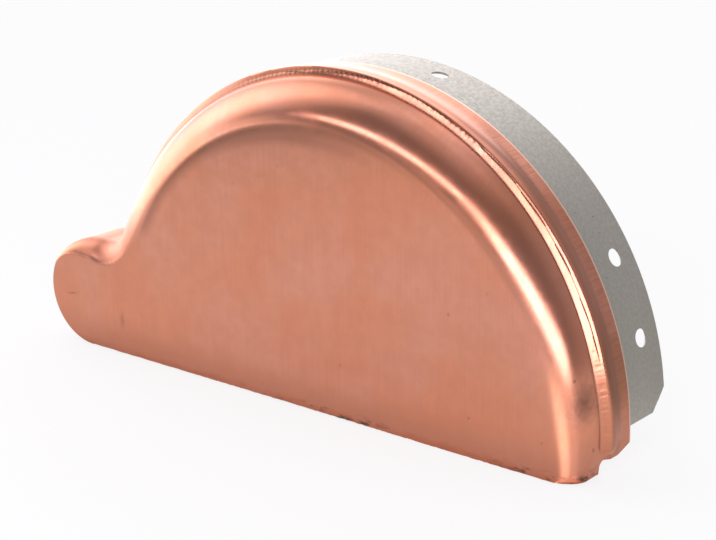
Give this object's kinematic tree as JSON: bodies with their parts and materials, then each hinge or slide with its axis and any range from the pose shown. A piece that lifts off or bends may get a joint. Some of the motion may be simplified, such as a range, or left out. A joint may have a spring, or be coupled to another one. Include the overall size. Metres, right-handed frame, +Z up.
{
  "type": "gutter end cap",
  "caption": "Half-round copper gutter end cap with a flat face, rolled rib, lobe for the gutter's bead, and a grey steel band inside its rim for riveting.",
  "frame": {"origin": "on the straight edge, in the plane of the flat face, under the centre of the half-round", "axes": "+X along the straight edge away from the lobe, +Y from the flat face to the open side, +Z up from the straight edge to the top of the dome"},
  "size_m": [0.1434, 0.031, 0.0704],
  "materials": {
    "copper": "satin rolled copper sheet, lightly streaked and stained along the straight edge",
    "galvanised_steel": "dull grey galvanised sheet with a fine mottled grain"
  },
  "bodies": {
    "root": {"copper_cap": "copper", "steel_band": "galvanised_steel"}
  },
  "joints": []
}
